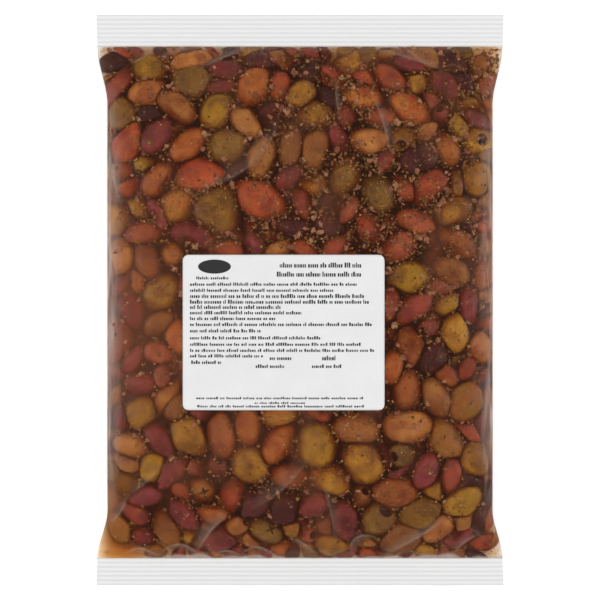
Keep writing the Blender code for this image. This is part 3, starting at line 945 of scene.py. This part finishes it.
# Painted glow: the two corners whose underside is painted golden, for the table's light shining up through
# thin oil.
lower_left = np.hypot((x + half_width(y)) / (40 * MM), (y - LOWER_END) / (50 * MM))
upper_right = np.hypot((x - half_width(y)) / (26 * MM), (y - UPPER_END) / (26 * MM))
golden = np.maximum(1 - smooth((lower_left - 0.45) / 0.55), 0.6 * (1 - smooth((upper_right - 0.45) / 0.55)))
marks = {  # how strongly each shows at a point of the film, from 0 to 1
    "seal": np.where(in_pouch, 0.0, 1.0),
    "groove": groove(y),
    # painted sheen: a whiter veil over the left middle
    "rubbed": np.exp(-((x + 105 * MM) / (36 * MM)) ** 2 - ((y + 15 * MM) / (62 * MM)) ** 2),
    # painted glow: golden underside in the corners, for light from the table below
    "dregs": 0.92 * under * golden * in_pouch * (0.45 + 0.55 * smooth(from_side / (10 * MM))),
    "cling": milky(x, y) * in_pouch * np.where(y > 0, 0.15, 0.8 - 0.7 * (x < -95 * MM)),
    # painted sheen: whitish streaks down the sides
    "side": (1 - smooth(from_side / (11 * MM))) * (1 - 0.8 * smooth((np.abs(y) - SIDE_SHEEN_REACH) / SIDE_SHEEN_REACH)),
}
for name, values in marks.items():
    mark = bm.verts.layers.float.new(name)
    for vert, value in zip(bm.verts, values):
        vert[mark] = float(value)
fold = (from_side < 0.01 * MM) & ~in_pouch | (seal_depth(y) == 1)
bm.verts.index_update()
for edge in bm.edges:
    if all(fold[vert.index] for vert in edge.verts):
        edge.smooth = False
film = finished("film", bm, clear_film("clear polyethylene film, ribbed and frosted at the welds"))
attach(film, "root")
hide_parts("bag")

# The oil: sunflower oil stained brown by the olives and spices. It fills the pouch right up to
# the film, so nothing but the film shows where they meet. Thin, at the corners, it is amber, and
# a finger deep it is nearly black.
OIL_INSET = 0.12 * MM
OIL_TINT = (0.72, 0.455, 0.12)
OIL_DENSITY = 262.0
OIL_END = 0.3 * MM  # from the seals


def stained_oil(name):
    """Clear oil that holds back blue and green light, so it is amber where thin and brown where deep."""
    material, tree, output = new_material(name)
    surface = add_node(tree, "ShaderNodeBsdfTransparent")
    depth = add_node(tree, "ShaderNodeVolumeAbsorption", {"Color": (*OIL_TINT, 1), "Density": OIL_DENSITY})
    tree.links.new(surface.outputs[0], output.inputs["Surface"])
    tree.links.new(depth.outputs[0], output.inputs["Volume"])
    return material


rows = np.linspace(LOWER_END + OIL_END, UPPER_END - OIL_END, 160)
bm = tube(rows, top_facets=100, base_facets=50, inset=OIL_INSET)
oil = finished("oil", bm, stained_oil("spiced oil stained brown"))
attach(oil, "root")

# The seasoning: rubbed herbs, chips of pink pepper and dried vegetable, and dark specks of spice,
# which lie on the olives just under the film, thickest in the upper half of the bag.
SEASONING = {
    "herb_flakes": {"count": 7200, "size": (0.5, 2.4), "flat": 0.18, "slim": 0.6, "sides": 1, "deep": 0.8,
                    "bunching": 1.0, "low": 0.42,
                    "tones": ["#6e491c", "#61401b", "#573a13", "#7b5220", "#432a10", "#7f5826", "#523014"]},
    "pepper_chips": {"count": 1200, "size": (0.9, 3.6), "flat": 0.55, "slim": 0.7, "sides": 2, "deep": 0.9,
                     "bunching": 2.2, "low": 0.42,
                     "tones": ["#87543f", "#7a4733", "#906046", "#73402e", "#946a4c"]},
    "spice_specks": {"count": 5600, "size": (0.4, 1.4), "flat": 0.5, "slim": 0.8, "sides": 1, "deep": 0.6,
                     "bunching": 0.6, "low": 0.6,
                     "tones": ["#906a32", "#987440", "#7a5828", "#9e704e", "#3a2012", "#4e2c16", "#2c1a12",
                               "#5a3818"]},
}
CREVICE = 3 * MM
CRUMB_EDGE = 4 * MM  # from the side folds to the outermost seasoning
SEAL_SPREAD = 2.5 * MM  # how much nearer it comes by the seals


def crumb(style, seed):
    """A broken crumb: a ball with few sides, flattened and knocked out of shape."""
    bm = bmesh.new()
    bmesh.ops.create_icosphere(bm, subdivisions=style["sides"], radius=0.5)
    away = Vector((seed * 3.7, seed * 1.9, seed * 5.1))
    for vert in bm.verts:
        vert.co *= 1 + 1.5 * noise.noise(vert.co * 2.9 + away)
    bmesh.ops.scale(bm, verts=bm.verts, vec=(1.0, style["slim"], style["flat"]))
    mesh = bpy.data.meshes.new("crumb shape")
    bm.to_mesh(mesh)
    bm.free()
    return mesh


def strewn(style):
    """Places and sizes for a kind of crumb: more in the upper half, in bunches, most of it in the
    crevices between olives, and thick in the upper right corner."""
    y = draw.uniform(LOWER_END + 3 * MM, UPPER_END - 1.6 * MM, 12 * style["count"])
    room = half_width(y) - CRUMB_EDGE + SEAL_SPREAD * smooth((np.abs(y) - 125 * MM) / (20 * MM))
    x = draw.uniform(-1, 1, y.size) * room
    roof = film_heights(x, y)[1]
    olive = read_map(olive_tops, x, y)
    upper = style["low"] + (1 - style["low"]) * smooth((y + 35 * MM) / (95 * MM))
    right = 0.7 + 0.3 * smooth((x + 40 * MM) / (90 * MM))
    coarse = np.array([noise.noise(Vector((u, v, 0)) / (15 * MM)) for u, v in zip(x, y)])
    fine = np.array([noise.noise(Vector((u, v, 9)) / (4 * MM)) for u, v in zip(x, y)])
    bunch = smooth(0.5 + style["bunching"] * (0.8 * coarse + 0.7 * fine))
    crevice = 0.4 + 0.6 * smooth((roof - olive) / CREVICE)
    corner = np.hypot((half_width(y) - x) / (3.5 * MM), (UPPER_END - y) / (14 * MM))
    chance = upper * right * bunch * crevice * (under_label(x, y) < 1) * (1 + 9 * np.exp(-corner))
    kept = np.nonzero(draw.uniform(0, 1, y.size) < chance)[0][:style["count"]]
    size = style["size"][0] + (style["size"][1] - style["size"][0]) * draw.uniform(0, 1, kept.size) ** 2.2
    size *= MM
    deep = draw.exponential(style["deep"] * MM, kept.size)
    low = np.maximum(olive[kept] + 0.1 * MM, roof[kept] - deep)
    z = np.minimum(low, roof[kept] - 0.25 * MM - 0.3 * size * style["flat"])
    return np.column_stack([x[kept], y[kept], z]), size


def dried(name):
    """Dried herb and spice: matt, each crumb its own colour, dull with oil."""
    material, tree, output = new_material(name)
    tone = add_node(tree, "ShaderNodeAttribute", {"attribute_name": "skin"}).outputs["Color"]
    place = add_node(tree, "ShaderNodeTexCoord").outputs["Object"]
    grain = add_node(tree, "ShaderNodeTexNoise", {"Scale": 1 / (0.5 * MM), "Detail": 2.0}, {"Vector": place})
    shade = add_node(
        tree, "ShaderNodeMapRange", {"From Min": 0.3, "From Max": 0.7, "To Min": 0.75, "To Max": 1.15},
        {"Value": grain.outputs["Fac"]})
    toned = add_node(tree, "ShaderNodeVectorMath", {"operation": "SCALE"},
                     {0: tone, "Scale": shade.outputs["Result"]})
    shader = add_node(tree, "ShaderNodeBsdfPrincipled", {"Roughness": 0.6, "Specular IOR Level": 0.2},
                      {"Base Color": toned.outputs[0]})
    tree.links.new(shader.outputs[0], output.inputs["Surface"])
    return material


for name, style in SEASONING.items():
    variants = [crumb(style, seed) for seed in range(10)]
    bm = bmesh.new()
    skin = bm.verts.layers.float_color.new("skin")
    for number, (place, size) in enumerate(zip(*strewn(style))):
        mesh = variants[number % len(variants)]
        spin = Matrix.Rotation(draw.uniform(0, 2 * math.pi), 3, "Z")
        turn = spin @ Matrix.Rotation(draw.normal(0, 0.3), 3, "X")
        sized = np.array([v.co for v in mesh.vertices]) * (size, size * draw.uniform(0.5, 1.5), size)
        points = sized @ np.array(turn).T + place
        tone = linear(style["tones"][int(draw.integers(len(style["tones"])))]) + [1.0]
        for vert in lay(bm, mesh, points):
            vert[skin] = tone
    bmesh.ops.recalc_face_normals(bm, faces=bm.faces)
    piece = finished(name, bm, dried(name.replace("_", " ")), smooth_faces=False)
    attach(piece, "root")

# Folds in the film: the tube gathers into pleats where it is drawn in to the seals and along its
# sides. Each is pinched to a crease along one side, painted whitish there as a painted highlight,
# and fades away to the other in a milky haze. The list gives the points that it runs by and its
# width, in millimetres, and its strength.
FOLDS = [
    ([(50, -157), (70, -148), (91, -133)], 9, 1.0),
    ([(93, -157), (98, -150), (103, -146), (110, -144)], 6, 0.8),
    ([(101, -138), (108, -142), (117, -151)], 5, 0.35),
    ([(-86, 149), (-75, 153), (-58, 155)], 7, 0.9),
    ([(-117, 119), (-115, 108), (-116, 96)], 6, 1.0),
    ([(22, 134), (21, 124), (24, 111)], 5, 0.6),
    ([(44, 124), (52, 108), (54, 92)], 8, 0.7),
    ([(-66, 66), (-20, 76), (-12, 112)], 16, 0.45),
    ([(-30, -128), (-8, -118), (6, -96)], 14, 0.45),
    ([(13, -112), (20, -128), (21, -149)], 10, 0.45),
    ([(-63, -155), (-56, -141), (-44, -131)], 12, 1.0),
    ([(-117, -137), (-107, -130), (-106, -120)], 10, 0.9),
    ([(-106, -120), (-92, -112), (-84, -100)], 9, 0.5),
    ([(46, 153), (66, 150), (88, 140)], 10, 0.8),
    ([(-84, -157), (-92, -155), (-99, -147), (-107, -156)], 4.5, 1.1),
    ([(-58, -157), (-66, -155), (-72, -141), (-88, -157)], 5.5, 1.1),
    ([(-34, -157), (-41, -155), (-45, -150), (-53, -157)], 3, 1.2),
    ([(-12, -157), (-19, -156), (-25, -144), (-38, -157)], 4, 1.0),
    ([(11, -156), (4, -151), (3, -147), (-6, -146)], 6, 0.9),
    ([(48, -146), (36, -140), (28, -147), (32, -157)], 7, 0.9),
    ([(-61, 141), (-52, 147), (-41, 151), (-31, 154)], 8, 0.9),
    ([(-104, 144), (-97, 148), (-90, 151)], 5, 0.7),
    ([(115, -16), (108, -21), (105, -30)], 5, 0.6),
    ([(116, 30), (115, 20), (114, 12)], 4, 0.5),
    ([(-117, 86), (-114, 72), (-110, 58)], 8, 1.0),
    ([(117, 102), (113, 86), (116, 66)], 7, 0.9),
]
FOLD_STEPS = (40, 18)
CREASE = -0.72  # where across a fold the crease is, from -1 to 1
CREASE_HALF = 0.8  # millimetres
CREASE_HEIGHT = 0.45


def bezier(points, t):
    """A point on the smooth curve that a few points pull on."""
    points = [Vector(p) for p in points]
    while len(points) > 1:
        points = [a.lerp(b, t) for a, b in zip(points, points[1:])]
    return points[0]


def pleated_film(name):
    """Doubled film over oil: as clear as the rest, with whitish colour in the crease: partly the
    milky doubled film, partly a painted highlight.
    """
    material, tree, output = new_material(name)
    clear = add_node(tree, "ShaderNodeBsdfTransparent")
    milk_and_sheen = add_node(tree, "ShaderNodeBsdfDiffuse", {"Color": (*linear("#bfa896"), 1)})
    share = add_node(tree, "ShaderNodeAttribute", {"attribute_name": "milk_and_sheen"}).outputs["Fac"]
    mix = add_node(tree, "ShaderNodeMixShader", {}, {0: share, 1: clear.outputs[0], 2: milk_and_sheen.outputs[0]})
    tree.links.new(mix.outputs[0], output.inputs["Surface"])
    return material


bm = bmesh.new()
milk_and_sheen = bm.verts.layers.float.new("milk_and_sheen")
for points, width, strength in FOLDS:
    before = len(bm.verts)
    bmesh.ops.create_grid(bm, x_segments=FOLD_STEPS[0], y_segments=FOLD_STEPS[1], size=1.0)
    bm.verts.ensure_lookup_table()
    fresh = bm.verts[before:]
    for vert in fresh:
        t, off = (vert.co.x + 1) / 2, vert.co.y
        here = bezier(points, t)
        ahead = bezier(points, min(t + 0.01, 1.0)) - bezier(points, max(t - 0.01, 0.0))
        side = Vector((-ahead.y, ahead.x)).normalized()
        taper = math.sin(math.pi * t) ** 0.6 if 0 < t < 1 else 0.0
        crease = math.exp(-((off - CREASE) * width / 2 / CREASE_HALF) ** 2)
        fade = max(0.0, 1 - (off - CREASE) / (1 - CREASE)) ** 1.5 * (off > CREASE)
        # painted highlight along the crease, fading to milky haze beside it
        vert[milk_and_sheen] = strength * taper * (0.11 * crease + 0.19 * fade * (1 - abs(off) ** 6))
        spot = (here + side * (off - CREASE) * width * (0.3 + 0.7 * taper) / 2) * MM
        vert.co = (spot.x, spot.y, CREASE_HEIGHT * strength * crease * taper * MM)
places = np.array([vert.co for vert in bm.verts])
roofs = film_heights(places[:, 0], places[:, 1])[1]
for vert, roof in zip(bm.verts, roofs):
    vert.co.z += roof + 0.05 * MM
folds = finished("film_folds", bm, pleated_film("film gathered into pleats"))
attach(folds, "root")

# The label: white coated paper with rounded corners, stuck over the middle of the bag. It bridges
# the small lumps, so only a faint swell shows in it.
LABEL_CORNER = 3.5 * MM
LABEL_FACETS = (82, 64)
LABEL_GAP = 0.25 * MM
LABEL_THICK = 0.15 * MM
CORNER_CUT = 1.4 * MM


def on_film(bm, height):
    """Lays shapes drawn flat, in the plan of the bag, on the film at that height above it."""
    x, y, _ = np.array([vert.co for vert in bm.verts]).T
    for vert, z in zip(bm.verts, sheets(x, y)[1] + read_map(upper_lift, x, y) + height):
        vert.co.z = z


def label_paper(name):
    """Coated paper: even and nearly matt, with a fibre that only just shows, and faint painted shade in broad
    clouds.
    """
    material, tree, output = new_material(name)
    place = add_node(tree, "ShaderNodeTexCoord").outputs["Object"]
    fibre = add_node(tree, "ShaderNodeTexNoise", {"Scale": 1 / (0.8 * MM), "Detail": 4.0}, {"Vector": place})
    # Painted shade: broad faint clouds darken the paper where its soft wrinkles would shade it.
    cloud = add_node(tree, "ShaderNodeTexNoise", {"Scale": 1 / (16 * MM), "Detail": 3.0}, {"Vector": place})
    fibre_and_painted_shade = add_node(tree, "ShaderNodeMath", {"operation": "MULTIPLY"},
                     {0: fibre.outputs["Fac"], 1: cloud.outputs["Fac"]})
    shade = add_node(
        tree, "ShaderNodeMix", {"data_type": "RGBA", 6: (*linear("#cfcfcf"), 1), 7: (*linear("#e4e4e4"), 1)},
        {0: fibre_and_painted_shade.outputs[0]})
    relief = add_node(tree, "ShaderNodeBump", {"Strength": 0.1, "Distance": 0.05 * MM},
                      {"Height": fibre.outputs["Fac"]})
    shader = add_node(tree, "ShaderNodeBsdfPrincipled", {"Roughness": 0.55, "Specular IOR Level": 0.25},
                      {"Base Color": shade.outputs[2], "Normal": relief.outputs["Normal"]})
    tree.links.new(shader.outputs[0], output.inputs["Surface"])
    return material


bm = bmesh.new()
bmesh.ops.create_grid(bm, x_segments=LABEL_FACETS[0], y_segments=LABEL_FACETS[1], size=0.5)
bmesh.ops.scale(bm, verts=bm.verts, vec=(*LABEL_SIZE, 1.0))
corners = [v for v in bm.verts if len(v.link_edges) == 2]
bmesh.ops.bevel(bm, geom=corners, affect="VERTICES", offset=CORNER_CUT, segments=3, profile=0.5, material=-1)
for vert in bm.verts:
    x, y = vert.co.x, vert.co.y
    dx = max(abs(x) - (LABEL_SIZE[0] / 2 - LABEL_CORNER), 0)
    dy = max(abs(y) - (LABEL_SIZE[1] / 2 - LABEL_CORNER), 0)
    out = math.hypot(dx, dy)
    if out > LABEL_CORNER:
        x -= math.copysign(dx * (1 - LABEL_CORNER / out), x)
        y -= math.copysign(dy * (1 - LABEL_CORNER / out), y)
    vert.co = (x + LABEL_CENTRE[0], y + LABEL_CENTRE[1], 0)
on_film(bm, LABEL_GAP + LABEL_THICK)
bmesh.ops.recalc_face_normals(bm, faces=bm.faces)
label = finished("label_sheet", bm, label_paper("coated white label paper"))
paper = label.modifiers.new("paper", "SOLIDIFY")
paper.thickness = LABEL_THICK
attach(label, "root")
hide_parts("label")

# The print on the label: rows of small blocks, and a plain oval at the upper left, in black ink
# laid on by a label printer. A row is its start and end from the label's left edge, how far down
# it is and how tall, in millimetres.
PRINT_ROWS = [
    (59.2, 109.5, 6.8, 3.3), (57.4, 110.1, 12.3, 3.3), (8.3, 29.8, 14.4, 1.9),
    (4.5, 105.9, 18.2, 2.1), (4.5, 92.4, 21.9, 2.1), (4.5, 110.8, 25.5, 2.6), (4.5, 113.0, 29.0, 2.6),
    (4.5, 60.4, 32.2, 2.6), (4.5, 73.7, 35.6, 2.3), (4.5, 58.6, 39.1, 2.3), (4.5, 115.5, 42.7, 2.3),
    (4.5, 47.6, 46.6, 2.3), (4.5, 84.4, 50.9, 2.1), (4.5, 109.5, 54.8, 2.1), (4.5, 116.6, 58.5, 2.1),
    (4.5, 49.7, 61.9, 2.1), (5.2, 23.4, 65.8, 2.3), (53.1, 67.8, 63.3, 2.6), (85.0, 93.0, 63.3, 3.1),
    (44.5, 63.5, 68.2, 2.3), (78.8, 97.3, 68.2, 2.3), (8.3, 111.4, 87.5, 1.6), (43.9, 75.2, 90.4, 1.4),
    (8.9, 110.8, 92.5, 1.6),
]
INK_THICK = 0.018 * MM
INK_RISE = 0.12 * MM  # of its upper side over the paper, which its facets might hide otherwise
GROUP = (2.0, 11.0)  # millimetres, as the next ones are
GROUP_GAP = 0.9
BLOCK = (0.5, 1.1)
BLOCK_GAP = 0.42
BLOCK_TALL = [0.62, 0.62, 0.62, 0.92]  # of the row's height
OVAL_MIDDLE = (19.4, 7.2)
OVAL_HALF = (10.0, 4.3)


def ink(name):
    """Black label ink, thermally printed: matt, and grey at its edges."""
    material, tree, output = new_material(name)
    place = add_node(tree, "ShaderNodeTexCoord").outputs["Object"]
    dots = add_node(tree, "ShaderNodeTexNoise", {"Scale": 1 / (0.3 * MM)}, {"Vector": place})
    tone = add_node(
        tree, "ShaderNodeMix", {"data_type": "RGBA", 6: (*linear("#1a1a1a"), 1), 7: (*linear("#383838"), 1)},
        {0: dots.outputs["Fac"]})
    shader = add_node(tree, "ShaderNodeBsdfPrincipled", {"Roughness": 0.6, "Specular IOR Level": 0.2},
                      {"Base Color": tone.outputs[2]})
    tree.links.new(shader.outputs[0], output.inputs["Surface"])
    return material


bm = bmesh.new()
for first, last, down, tall in PRINT_ROWS:
    x = first
    while x < last - 1.0:
        group_end = min(x + draw.uniform(*GROUP), last)
        while x < group_end - 0.5:
            wide = draw.uniform(*BLOCK)
            high = tall * draw.choice(BLOCK_TALL)
            for vert in bmesh.ops.create_grid(bm, x_segments=1, y_segments=1, size=0.5)["verts"]:
                vert.co.x = x + (vert.co.x + 0.5) * wide
                vert.co.y = down + 0.31 * tall - (vert.co.y + 0.5) * high
            x += wide + BLOCK_GAP
        x += GROUP_GAP
for vert in bmesh.ops.create_grid(bm, x_segments=24, y_segments=12, size=1.0)["verts"]:
    u, v = vert.co.x, vert.co.y
    vert.co.x = OVAL_MIDDLE[0] + OVAL_HALF[0] * u * math.sqrt(1 - v * v / 2)
    vert.co.y = OVAL_MIDDLE[1] + OVAL_HALF[1] * v * math.sqrt(1 - u * u / 2)
for vert in bm.verts:
    vert.co.x = LABEL_CENTRE[0] - LABEL_SIZE[0] / 2 + vert.co.x * MM
    vert.co.y = LABEL_CENTRE[1] + LABEL_SIZE[1] / 2 - vert.co.y * MM
on_film(bm, LABEL_GAP + LABEL_THICK + INK_RISE)
bmesh.ops.recalc_face_normals(bm, faces=bm.faces)
print_layer = finished("label_print", bm, ink("black label ink"), smooth_faces=False)
ink_film = print_layer.modifiers.new("ink", "SOLIDIFY")
ink_film.thickness = INK_THICK
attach(print_layer, "root")

# The studio: a pale table under a broad soft light, two long lights low at the sides for the sheen
# along the bag's edges, and the camera straight above, far enough off to see it almost flat.
PIXEL = 0.6136 * MM  # of the bag, to one pixel of the photograph
FRAME_PIXELS = 600
LENS = 400.0
SENSOR = 36.0
TABLE_GLOW = 0.42  # of its own light, which keeps the table pale out to the corners

bm = bmesh.new()
bmesh.ops.create_grid(bm, x_segments=1, y_segments=1, size=4.0)
table, tree, output = new_material("pale laminate table")
place = add_node(tree, "ShaderNodeTexCoord").outputs["Object"]
grain = add_node(tree, "ShaderNodeTexNoise", {"Scale": 1 / (3 * MM)}, {"Vector": place})
shade = add_node(
    tree, "ShaderNodeMix", {"data_type": "RGBA", 6: (*linear("#ececec"), 1), 7: (*linear("#eeeeee"), 1)},
    {0: grain.outputs["Fac"]})
shader = add_node(
    tree, "ShaderNodeBsdfPrincipled",
    {"Roughness": 0.7, "Specular IOR Level": 0.1, "Emission Strength": TABLE_GLOW},
    {"Base Color": shade.outputs[2], "Emission Color": shade.outputs[2]})
tree.links.new(shader.outputs[0], output.inputs["Surface"])
floor = finished("floor", bm, table)


def soft_light(name, place, size, power, mirrored):
    """An area light that faces the bag."""
    data = bpy.data.lights.new(name, "AREA")
    data.shape = "RECTANGLE"
    data.size, data.size_y = size
    data.energy = power
    lamp = bpy.data.objects.new(name, data)
    bpy.context.scene.collection.objects.link(lamp)
    lamp.location = place
    lamp.rotation_mode = "QUATERNION"
    lamp.rotation_quaternion = Vector(place).to_track_quat("Z", "Y")
    lamp.visible_glossy = mirrored


soft_light("overhead", (0.0, 0.0, 1.6), (1.8, 1.8), power=22, mirrored=False)
soft_light("left", (-1.3, 0.1, 0.55), (0.5, 1.6), power=5, mirrored=True)
soft_light("right", (1.3, 0.1, 0.55), (0.5, 1.6), power=5, mirrored=True)

world = bpy.data.worlds.new("studio")
bpy.context.scene.world = world
world.use_nodes = True
sky = world.node_tree.nodes["Background"]
sky.inputs["Color"].default_value = (1, 1, 1, 1)
sky.inputs["Strength"].default_value = 0.45

lens = bpy.data.cameras.new("camera")
lens.lens = LENS
lens.sensor_width = SENSOR
camera = bpy.data.objects.new("camera", lens)
bpy.context.scene.collection.objects.link(camera)
camera.location = (0, 0, SEAL_LEVEL + FRAME_PIXELS * PIXEL * LENS / SENSOR)
bpy.context.scene.camera = camera
bpy.context.scene.view_settings.view_transform = "Standard"
